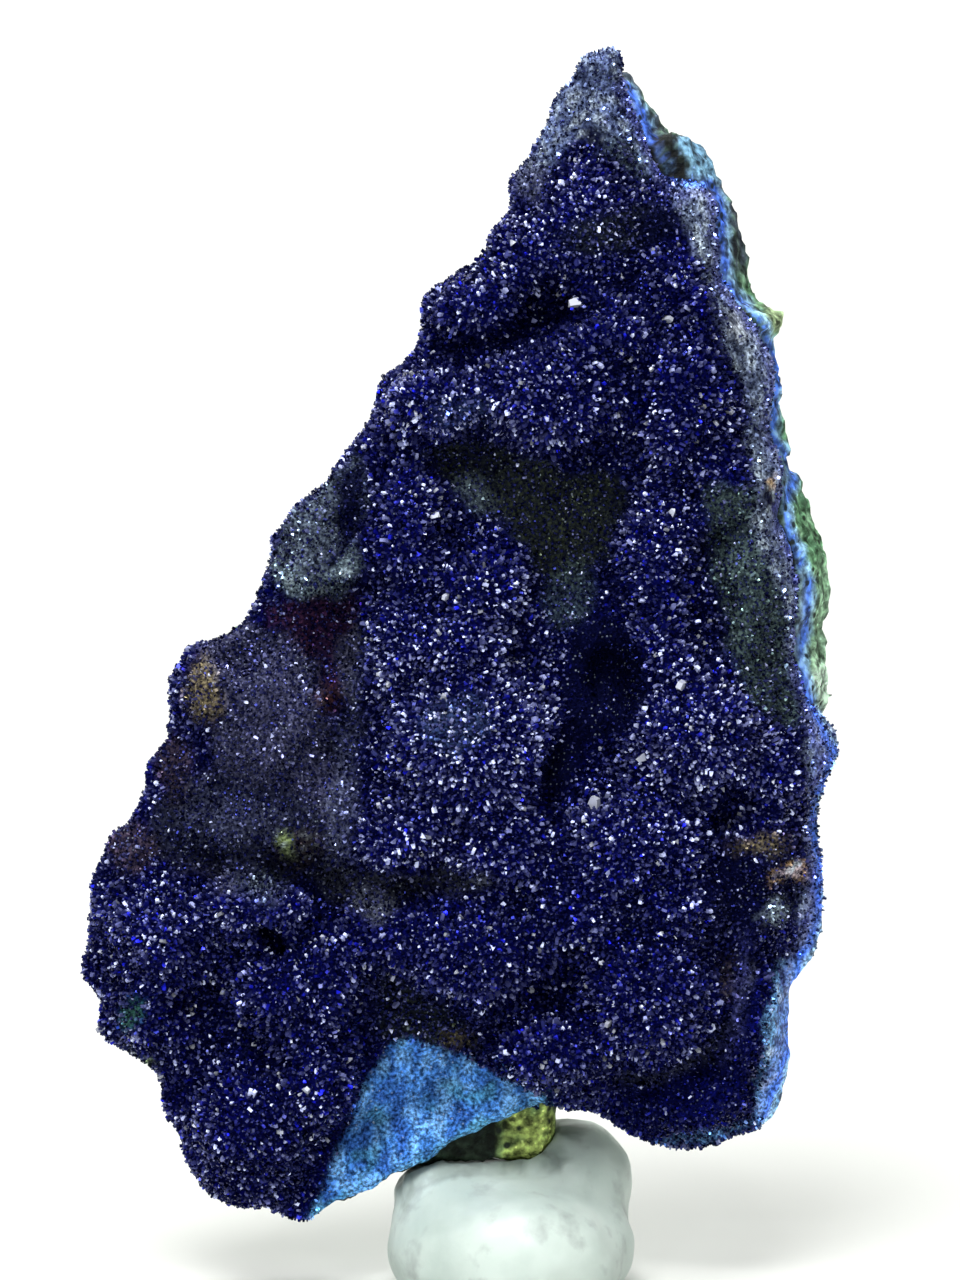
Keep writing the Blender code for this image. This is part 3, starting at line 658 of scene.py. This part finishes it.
def new_shader(name, roughness, ior):
    """A material with a Principled shader. Returns the material, its graph and the shader."""
    material = bpy.data.materials.new(name)
    material.use_nodes = True
    graph = material.node_tree
    shader = graph.nodes["Principled BSDF"]
    shader.inputs["Roughness"].default_value = roughness
    shader.inputs["IOR"].default_value = ior
    return material, graph, shader


def pattern(graph, kind, size, detail=3.0):
    """A noise or cell texture with features of a size in millimetres."""
    where = graph.nodes.new("ShaderNodeTexCoord")
    made = graph.nodes.new(kind)
    made.inputs["Scale"].default_value = 1.0 / (size * MM)
    if kind == "ShaderNodeTexNoise":
        made.inputs["Detail"].default_value = detail
    graph.links.new(where.outputs["Object"], made.inputs["Vector"])
    return made


def ramp(graph, source, stops):
    """A colour ramp over a value. Each stop is a position and a grey value or a colour."""
    made = graph.nodes.new("ShaderNodeValToRGB")
    elements = made.color_ramp.elements
    while len(elements) < len(stops):
        elements.new(0.5)
    for element, (position, value) in zip(elements, stops):
        element.position = position
        element.color = (*value, 1.0) if isinstance(value, tuple) else (value, value, value, 1.0)
    graph.links.new(source, made.inputs["Fac"])
    return made.outputs["Color"]


def mix(graph, kind, amount, first, second):
    """Mix two colours. Each is a socket or a colour, and the amount is a socket or a number."""
    made = graph.nodes.new("ShaderNodeMix")
    made.data_type = "RGBA"
    made.blend_type = kind
    inputs = made.inputs
    for socket, value in ((inputs[0], amount), (inputs[6], first), (inputs[7], second)):
        if isinstance(value, bpy.types.NodeSocket):
            graph.links.new(value, socket)
        elif isinstance(value, tuple):
            socket.default_value = (*value, 1.0)
        else:
            socket.default_value = value
    return made.outputs[2]


def attribute(graph, name, output):
    """A socket that reads an attribute of the piece."""
    made = graph.nodes.new("ShaderNodeAttribute")
    made.attribute_name = name
    return made.outputs[output]


def bump(graph, shader, height, depth, strength):
    """Link a height pattern to the shader's normal. The depth is in millimetres."""
    made = graph.nodes.new("ShaderNodeBump")
    made.inputs["Distance"].default_value = depth * MM
    made.inputs["Strength"].default_value = strength
    graph.links.new(height, made.inputs["Height"])
    graph.links.new(made.outputs["Normal"], shader.inputs["Normal"])


# %% [markdown]
# ## Finishes of the stone
#
# The skin of the crust is seen between the crystals, in the dull hollows and on the broken faces. It is a
# fine granular mass, with pale specks where tiny faces catch the light. The rock is malachite: lumpy, with
# brighter grains and dark pinholes. Its greens and its brown stains come from the painted points.

# %% The crust's skin
# The light that azurite mirrors is blue as well, because most of it has been through a neighbour.
MIRROR_BLUE = (0.10, 0.14, 1.0, 1.0)
skin_material, graph, shader = new_shader("azurite_skin", 0.60, 1.35)
shader.inputs["Specular IOR Level"].default_value = 0.3
shader.inputs["Specular Tint"].default_value = MIRROR_BLUE
grain = pattern(graph, "ShaderNodeTexNoise", 0.26, 3.0)
grain_tone = ramp(graph, grain.outputs["Fac"], [(0.34, 0.22), (0.50, 1.0), (0.66, 2.4)])
toned = mix(graph, "MULTIPLY", 1.0, attribute(graph, "mineral", "Color"), grain_tone)
specks = pattern(graph, "ShaderNodeTexVoronoi", 0.42)
speck_amount = ramp(graph, specks.outputs["Distance"], [(0.10, 0.55), (0.22, 0.0)])
patchy = pattern(graph, "ShaderNodeTexNoise", 2.2, 2.0)
patch_amount = ramp(graph, patchy.outputs["Fac"], [(0.45, 0.0), (0.62, 1.0)])
speck_mask = mix(graph, "MULTIPLY", 1.0, speck_amount, patch_amount)
final = mix(graph, "MIX", speck_mask, toned, (0.42, 0.50, 0.62))
graph.links.new(final, shader.inputs["Base Color"])
bump(graph, shader, grain.outputs["Fac"], 0.25, 0.9)
crust.data.materials.append(skin_material)

# %% The green rock
rock_material, graph, shader = new_shader("malachite_rock", 0.62, 1.6)
shader.inputs["Specular IOR Level"].default_value = 0.12
lumps = pattern(graph, "ShaderNodeTexNoise", 0.7, 6.0)
tone = ramp(graph, lumps.outputs["Fac"], [(0.36, 0.20), (0.50, 1.0), (0.64, 2.2)])
toned = mix(graph, "MULTIPLY", 1.0, attribute(graph, "mineral", "Color"), tone)
grains = pattern(graph, "ShaderNodeTexVoronoi", 0.55)
grain_amount = ramp(graph, grains.outputs["Distance"], [(0.12, 0.60), (0.26, 0.0)])
brighter = mix(graph, "MULTIPLY", 1.0, toned, (2.6, 2.3, 2.8))
grained = mix(graph, "MIX", grain_amount, toned, brighter)
holes = pattern(graph, "ShaderNodeTexVoronoi", 1.3)
hole_amount = ramp(graph, holes.outputs["Distance"], [(0.14, 0.95), (0.24, 0.0)])
holed = mix(graph, "MIX", hole_amount, grained, (0.012, 0.018, 0.014))
graph.links.new(holed, shader.inputs["Base Color"])
bump(graph, shader, lumps.outputs["Fac"], 0.5, 0.8)
rock.data.materials.append(rock_material)

# %% [markdown]
# ## The crystals
#
# A druse is many crystals on one base. Each is simple: a blade or a stub with flat faces, a few tenths of
# a millimetre across, with its root in the crust. Particles would be lost when the model is exported. So
# three crystals are modelled once, with primitives and edit-mode operators, and their points are then copied
# thousands of times into joined meshes. Each copy is turned, tilted and sized at random, with a fixed seed.

# %% Three crystals to copy


def crystal(name, sides, taper, lean, size):
    """Model one closed crystal, about one unit tall, by tapering and leaning a primitive's top."""
    if sides == 4:
        bpy.ops.mesh.primitive_cube_add(size=1.0)
    else:
        bpy.ops.mesh.primitive_cylinder_add(vertices=sides, radius=0.5, depth=1.0)
    made = bpy.context.object
    made.name = name
    only(made)
    bpy.ops.object.mode_set(mode="EDIT")
    bpy.ops.mesh.select_all(action="DESELECT")
    bpy.ops.object.mode_set(mode="OBJECT")
    for vertex in made.data.vertices:
        vertex.select = vertex.co.z > 0
    bpy.ops.object.mode_set(mode="EDIT")
    bpy.ops.transform.resize(value=(taper[0], taper[1], 1.0))
    bpy.ops.transform.translate(value=(lean[0], lean[1], 0.0))
    bpy.ops.mesh.select_all(action="SELECT")
    bpy.ops.transform.resize(value=size)
    bpy.ops.mesh.quads_convert_to_tris()
    bpy.ops.object.mode_set(mode="OBJECT")
    places, _ = vertex_arrays(made)
    faces = np.array([polygon.vertices[:] for polygon in made.data.polygons])
    mesh = made.data
    bpy.data.objects.remove(made)
    bpy.data.meshes.remove(mesh)
    return places, faces


CRYSTALS = [
    crystal("blade", 4, (0.45, 0.80), (0.10, 0.05), (1.00, 0.50, 1.15)),
    crystal("three-sided stub", 3, (0.55, 0.45), (-0.08, 0.12), (1.10, 1.00, 1.00)),
    crystal("three-sided point", 3, (0.22, 0.30), (0.12, -0.06), (1.05, 0.95, 1.20)),
]
print("triangles of each crystal:", [len(faces) for _, faces in CRYSTALS])

# %% [markdown]
# ### Where crystals grow
#
# Points are spread over the skin in proportion to area. The glitter of a place says how large its crystals
# are and how many of them are bright. Dull hollows still have a velvet of very small crystals. Fewer grow
# on the broken right edge, and none on the lower broken face or on the hidden back of the crust.

# %% Choose the roots
CRYSTAL_COUNT = 66000
CRYSTAL_SIZE = 0.33
SMALLEST = 0.55
LARGEST = 1.9
SIZE_SPREAD = 0.26
CLEAR_OF_SEAM = 0.75 * MM
draws = np.random.default_rng(SEED)
crust.data.calc_loop_triangles()
corners = np.empty(len(crust.data.loop_triangles) * 3, np.int32)
crust.data.loop_triangles.foreach_get("vertices", corners)
corners = corners.reshape(-1, 3)
crust_places, crust_normals = vertex_arrays(crust)
edges = crust_places[corners[:, 1:]] - crust_places[corners[:, :1]]
areas = np.linalg.norm(np.cross(edges[:, 0], edges[:, 1]), axis=1) / 2
growing = np.clip(skin_glitter / 0.15 - 0.2, 0.0, 1.0) * (crust_gap > CLEAR_OF_SEAM)
weights = areas * growing[corners].mean(axis=1)
marks = (np.arange(CRYSTAL_COUNT) + draws.random(CRYSTAL_COUNT)) / CRYSTAL_COUNT * weights.sum()
chosen = np.minimum(np.searchsorted(np.cumsum(weights), marks), len(weights) - 1)
shares = draws.dirichlet((1.0, 1.0, 1.0), CRYSTAL_COUNT)
roots = np.einsum("ij,ijk->ik", shares, crust_places[corners[chosen]])
outward = np.einsum("ij,ijk->ik", shares, crust_normals[corners[chosen]])
outward /= np.linalg.norm(outward, axis=1)[:, None]
root_colour = np.einsum("ij,ijk->ik", shares, skin_colour[corners[chosen]])
root_glitter = np.einsum("ij,ij->i", shares, skin_glitter[corners[chosen]])
# Each crystal takes the painted light and shade of its root, which also scales its painted glint.
root_relief_shading = np.einsum("ij,ij->i", shares, painted_relief_shading[corners[chosen]])
print("crystals:", CRYSTAL_COUNT, "over", round(float(weights.sum()) / MM ** 2), "square millimetres")

# %% Sizes and tints
# Seen from one side, most crystals of a druse are nearly black and a few flash. The brightness spreads over
# two decades, which a log-normal law gives. The flash is a painted highlight, added to each crystal's base
# colour. Weak glints are violet blue and strong ones are nearly white.
# Dull patches keep their own colour, with a narrower spread.
GLINT_MEDIAN = 0.0125
GLINT_SPREAD = 2.35
GLINT_LIMIT = 0.95
DULL_SPREAD = 1.80
size_spread = draws.lognormal(0.0, SIZE_SPREAD, CRYSTAL_COUNT)
sizes = CRYSTAL_SIZE * np.clip(size_spread, SMALLEST, LARGEST) * (0.62 + 0.38 * root_glitter) * MM
shade = draws.lognormal(-DULL_SPREAD ** 2 / 2, DULL_SPREAD, CRYSTAL_COUNT)
tints = root_colour * shade[:, None]
glinting = root_glitter * glint_level(roots[:, [0, 2]] / MM) * root_relief_shading
painted_glint = GLINT_MEDIAN * glinting * draws.lognormal(0.0, GLINT_SPREAD, CRYSTAL_COUNT)
painted_glint = np.minimum(painted_glint, GLINT_LIMIT)[:, None]
tints += painted_glint * np.array((1.0, 1.08, 1.0)) + np.sqrt(painted_glint) * np.array((0.0, 0.01, 0.50))
print("bright crystals:", int((painted_glint > 0.2).sum()), "of", CRYSTAL_COUNT)

# %% Grow the druse
TILT = 0.62
LIFT = 0.12
PIECES = 4
PAINTED_FLASH_WHITE = np.array((0.720, 0.760, 0.900))


def unit(vectors):
    """Vectors of length one."""
    return vectors / np.linalg.norm(vectors, axis=1)[:, None]


def grow(name, which, roots, outward, sizes, tints):
    """Join many copies of the crystals in one mesh, with a tint on each copy."""
    spread = draws.normal(0.0, 1.0, (len(roots), 3))
    up = unit(outward + TILT * unit(spread) * draws.random((len(roots), 1)))
    side = unit(np.cross(up, draws.normal(0.0, 1.0, (len(roots), 3))))
    across = np.cross(up, side)
    all_places, all_faces, all_tints = [], [], []
    start = 0
    for kind, (places, faces) in enumerate(CRYSTALS):
        mine = np.flatnonzero(which == kind)
        turned = (
            places[None, :, 0, None] * side[mine, None]
            + places[None, :, 1, None] * across[mine, None]
            + (places[None, :, 2, None] + LIFT) * up[mine, None]
        )
        all_places.append((roots[mine, None] + turned * sizes[mine, None, None]).reshape(-1, 3))
        copies = faces[None] + (start + np.arange(len(mine)) * len(places))[:, None, None]
        all_faces.append(copies.reshape(-1, 3))
        all_tints.append(np.repeat(tints[mine], len(places), axis=0))
        start += len(mine) * len(places)
    mesh = bpy.data.meshes.new(name)
    mesh.from_pydata(np.concatenate(all_places), [], np.concatenate(all_faces))
    druse = bpy.data.objects.new(name, mesh)
    bpy.context.scene.collection.objects.link(druse)
    write_attribute(druse, "mineral", np.concatenate(all_tints))
    print(name, "has", len(mesh.polygons), "triangles")
    return druse


kinds = draws.choice(3, CRYSTAL_COUNT, p=(0.45, 0.30, 0.25))
druses = []
for piece in range(PIECES):
    mine = slice(piece, None, PIECES)
    druses.append(
        grow(f"druse_{piece + 1}", kinds[mine], roots[mine], outward[mine], sizes[mine], tints[mine])
    )

# %% [markdown]
# ### Larger crystals
#
# Here and there a crystal is two or three times as large as its neighbours and flashes white. Its pale tint
# is a painted highlight. The most striking ones have known places, and the others are spread at random over
# the glittering parts.

# %% Accent crystals
FLASHES = {
    "below the step": (570, 302, 1.25), "right dome": (670, 676, 1.05), "right dome top": (632, 747, 0.95),
    "waist": (585, 800, 1.2), "waist below": (575, 810, 0.9), "left of the face": (340, 1055, 0.85),
    "main flank": (440, 590, 0.7), "dome edge": (545, 705, 0.7), "spire": (505, 245, 0.7),
    "brow": (425, 512, 0.85), "rib": (660, 510, 0.7), "heel": (300, 1080, 0.7), "lip": (600, 1010, 0.7),
    "disc": (652, 925, 0.75), "upper rise": (655, 320, 0.75), "great dome": (437, 690, 0.7),
}
LOOSE_FLASHES = 240
front = BVHTree.FromObject(crust, bpy.context.evaluated_depsgraph_get())
flash_roots, flash_outward, flash_sizes = [], [], []
for column, row, size in FLASHES.values():
    x, z = to_face((column, row)) * MM
    place, normal, _, _ = front.ray_cast(Vector((x, -0.1, z)), Vector((0.0, 1.0, 0.0)))
    if place is not None:
        flash_roots.append(place)
        flash_outward.append(normal)
        flash_sizes.append(size * MM)
loose = draws.choice(np.flatnonzero(root_glitter > 0.75), LOOSE_FLASHES, replace=False)
flash_roots = np.concatenate([np.array(flash_roots), roots[loose]])
flash_outward = np.concatenate([np.array(flash_outward), outward[loose]])
flash_sizes = np.concatenate([np.array(flash_sizes), draws.uniform(0.38, 0.60, LOOSE_FLASHES) * MM])
# The pale tints are painted highlights.
flash_tints = np.tile(PAINTED_FLASH_WHITE, (len(flash_roots), 1)) * draws.uniform(0.35, 1.25, (len(flash_roots), 1))
flash_tints[len(FLASHES):] *= draws.uniform(0.25, 1.0, (len(flash_roots) - len(FLASHES), 1))
flash_kinds = draws.choice(3, len(flash_roots), p=(0.5, 0.3, 0.2))
druses.append(grow("large_crystals", flash_kinds, flash_roots, flash_outward, flash_sizes, flash_tints))

# %% The crystals' finish
# Azurite is glassy. Each crystal has one tint, from its attribute.
crystal_material, graph, shader = new_shader("azurite_crystals", 0.14, 1.50)
shader.inputs["Specular Tint"].default_value = MIRROR_BLUE
graph.links.new(attribute(graph, "mineral", "Color"), shader.inputs["Base Color"])
for druse in druses:
    druse.data.materials.append(crystal_material)

# %% [markdown]
# ## The putty
#
# The putty is kneaded by hand: soft lumps, smudges of grey, dark dusting and painted shadow where it touches
# the stone, and a faint satin shine. Its solid already has the lumps. The skin is smoothed well, and gets
# low, wide dents. Near the stone it is pressed on to the rock's skin, and the dusting and painted shadow
# follow the distance to it, so they are an attribute.

# %% Skin and finish of the putty
putty = fine_skin("display_putty", "putty_lump", 0.38, 10, 0.0)
relief(putty, "CLOUDS", 5.0, 0.55)
relief(putty, "CLOUDS", 1.6, 0.08)
apply_all(putty)
putty_places, _ = vertex_arrays(putty)
putty_places[:, 2] = np.maximum(putty_places[:, 2], CAD_BOX[0][2])
store_places(putty, putty_places)
foot_near, foot_gap = distances(putty_places, surface_tree(rock), 4.0 * MM)
# Darker near the rock: dark dusting, with painted contact shadow where the stone shades the putty.
dust_and_shade = np.clip(1.1 - foot_gap / (2.4 * MM) + 0.5 * cloud(putty_places, 1.6), 0.0, 0.85)
write_attribute(putty, "dust_and_shade", dust_and_shade)
pressed = np.clip(1.4 - foot_gap / (1.5 * MM), 0.0, 0.95)[:, None] * (putty_places[:, 2:] > 6.0 * MM)
store_places(putty, putty_places + pressed * (foot_near - putty_places))
print("dusted points of the putty:", int((dust_and_shade > 0.4).sum()), "of", len(dust_and_shade))
putty_material, graph, shader = new_shader("putty", 0.42, 1.47)
cloudy = pattern(graph, "ShaderNodeTexNoise", 6.0, 5.0)
tone = ramp(graph, cloudy.outputs["Fac"], [(0.32, (0.50, 0.60, 0.55)), (0.62, (0.68, 0.78, 0.72))])
smudge = pattern(graph, "ShaderNodeTexNoise", 2.6, 6.0)
smudge_amount = ramp(graph, smudge.outputs["Fac"], [(0.56, 0.0), (0.72, 0.55)])
smudged = mix(graph, "MIX", smudge_amount, tone, (0.30, 0.34, 0.33))
dust_and_shade_mixed = mix(graph, "MIX", attribute(graph, "dust_and_shade", "Fac"), smudged, (0.11, 0.14, 0.12))
graph.links.new(dust_and_shade_mixed, shader.inputs["Base Color"])
shader.inputs["Subsurface Weight"].default_value = 0.25
shader.inputs["Subsurface Radius"].default_value = (1.2, 1.4, 1.3)
shader.inputs["Subsurface Scale"].default_value = MM
bump(graph, shader, smudge.outputs["Fac"], 0.25, 0.35)
putty.data.materials.append(putty_material)

# %% [markdown]
# ## Smooth and flat shading
#
# The skins have no real edges at their own scale, so they are shaded smooth. The crystals must stay flat:
# their faces are what glitters.

# %% Shading
for skin in (crust, rock, putty):
    only(skin)
    bpy.ops.object.shade_smooth()
for druse in druses:
    only(druse)
    bpy.ops.object.shade_flat()

# %% Tie the pieces to the frame
for piece, node, slot in (
    (crust, "azurite_crust", "azurite"),
    (rock, "malachite_matrix", "malachite"),
    (putty, "display_putty", "putty"),
):
    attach(piece, "root")
    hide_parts(node)
for druse in druses:
    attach(druse, "root")

# %% [markdown]
# ## The studio
#
# The floor is one pale sheet that curves up behind the object, so that no horizon shows. A soft light from
# above, a little in front, gives the shape, and a weak one fills in from the front. Three small bright lights
# make single crystal faces flash, and one light is for the sheet behind. The world light is weak, because
# glossy faces would mirror a bright world and turn the dark blue grey.

# %% Floor
FLOOR_SIZE = 1.2
WALL_START = 0.9
WALL_HEIGHT = 1.6
COVE = 0.5
bpy.ops.object.select_all(action="DESELECT")
middle_of_floor = (0.0, WALL_START - FLOOR_SIZE / 2, CAD_BOX[0][2])
bpy.ops.mesh.primitive_plane_add(size=FLOOR_SIZE, location=middle_of_floor)
floor = bpy.context.object
floor.name = "floor"
bpy.ops.object.transform_apply(location=True, rotation=True, scale=True)
for vertex in floor.data.vertices:
    vertex.select = vertex.co.y > 0
for edge in floor.data.edges:
    edge.select = all(floor.data.vertices[index].co.y > 0 for index in edge.vertices)
floor.data.polygons[0].select = False
bpy.ops.object.mode_set(mode="EDIT")
bpy.ops.mesh.extrude_region_move(TRANSFORM_OT_translate={"value": (0.0, 0.0, WALL_HEIGHT)})
bpy.ops.object.mode_set(mode="OBJECT")
bend = floor.modifiers.new("Cove", "BEVEL")
bend.width = COVE
bend.segments = 16
bend.limit_method = "ANGLE"
apply_all(floor)
bpy.ops.object.shade_smooth()
floor_material, graph, shader = new_shader("pale_sheet", 0.6, 1.45)
shader.inputs["Base Color"].default_value = (0.72, 0.73, 0.70, 1.0)
floor.data.materials.append(floor_material)
floor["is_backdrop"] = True

# %% Lights


def panel(name, place, aim, size, power, colour=(1.0, 1.0, 1.0)):
    """A square light panel at a place, turned to a point. Lengths are in metres, power in watts."""
    data = bpy.data.lights.new(name, "AREA")
    data.size = size
    data.energy = power
    data.color = colour
    made = bpy.data.objects.new(name, data)
    bpy.context.scene.collection.objects.link(made)
    made.location = place
    made.rotation_euler = (Vector(aim) - Vector(place)).to_track_quat("-Z", "Y").to_euler()
    return made


AIM = (0.0, 0.0, 0.05)
panel("soft_key", (-0.10, -0.28, 0.50), AIM, 0.26, 3.4)
panel("glint_left", (-0.20, -0.60, 0.30), AIM, 0.03, 0.30)
panel("glint_top", (0.06, -0.35, 0.60), AIM, 0.03, 0.30)
panel("glint_right", (0.35, -0.50, 0.42), AIM, 0.03, 0.30)
panel("wall_light", (0.0, 0.35, 1.00), (0.0, 0.9, 0.30), 0.70, 12.5)
panel("front_fill", (0.10, -0.80, 0.10), AIM, 0.50, 0.9)
world = bpy.data.worlds.new("studio")
world.use_nodes = True
bpy.context.scene.world = world
world.node_tree.nodes["Background"].inputs["Color"].default_value = (0.92, 0.95, 1.0, 1.0)
world.node_tree.nodes["Background"].inputs["Strength"].default_value = 0.06

# %% Camera
# The camera stands in front of the face and looks down on it by a few degrees.
CAMERA_AIM = Vector((1.33, 0.0, 49.5)) * MM
CAMERA_DISTANCE = 0.32
CAMERA_ELEVATION = math.radians(5.0)
camera_data = bpy.data.cameras.new("camera")
camera_data.sensor_width = 36.0
camera_data.lens = 120.0
camera_data.clip_start = 0.01
camera = bpy.data.objects.new("camera", camera_data)
bpy.context.scene.collection.objects.link(camera)
back = Vector((0.0, -math.cos(CAMERA_ELEVATION), math.sin(CAMERA_ELEVATION)))
camera.location = CAMERA_AIM + CAMERA_DISTANCE * back
camera.rotation_euler = (-back).to_track_quat("-Z", "Y").to_euler()
bpy.context.scene.camera = camera
bpy.context.scene.view_settings.view_transform = "Standard"
bpy.context.scene.view_settings.look = "None"

# %% Print the two boxes and finish
sizes_now = {
    "cad": [list(corner) for corner in CAD_BOX],
    "visual": [list(corner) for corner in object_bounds()],
}
for name, (low, high) in sizes_now.items():
    print(name, "box in mm:", [round((b - a) / MM, 2) for a, b in zip(low, high)])
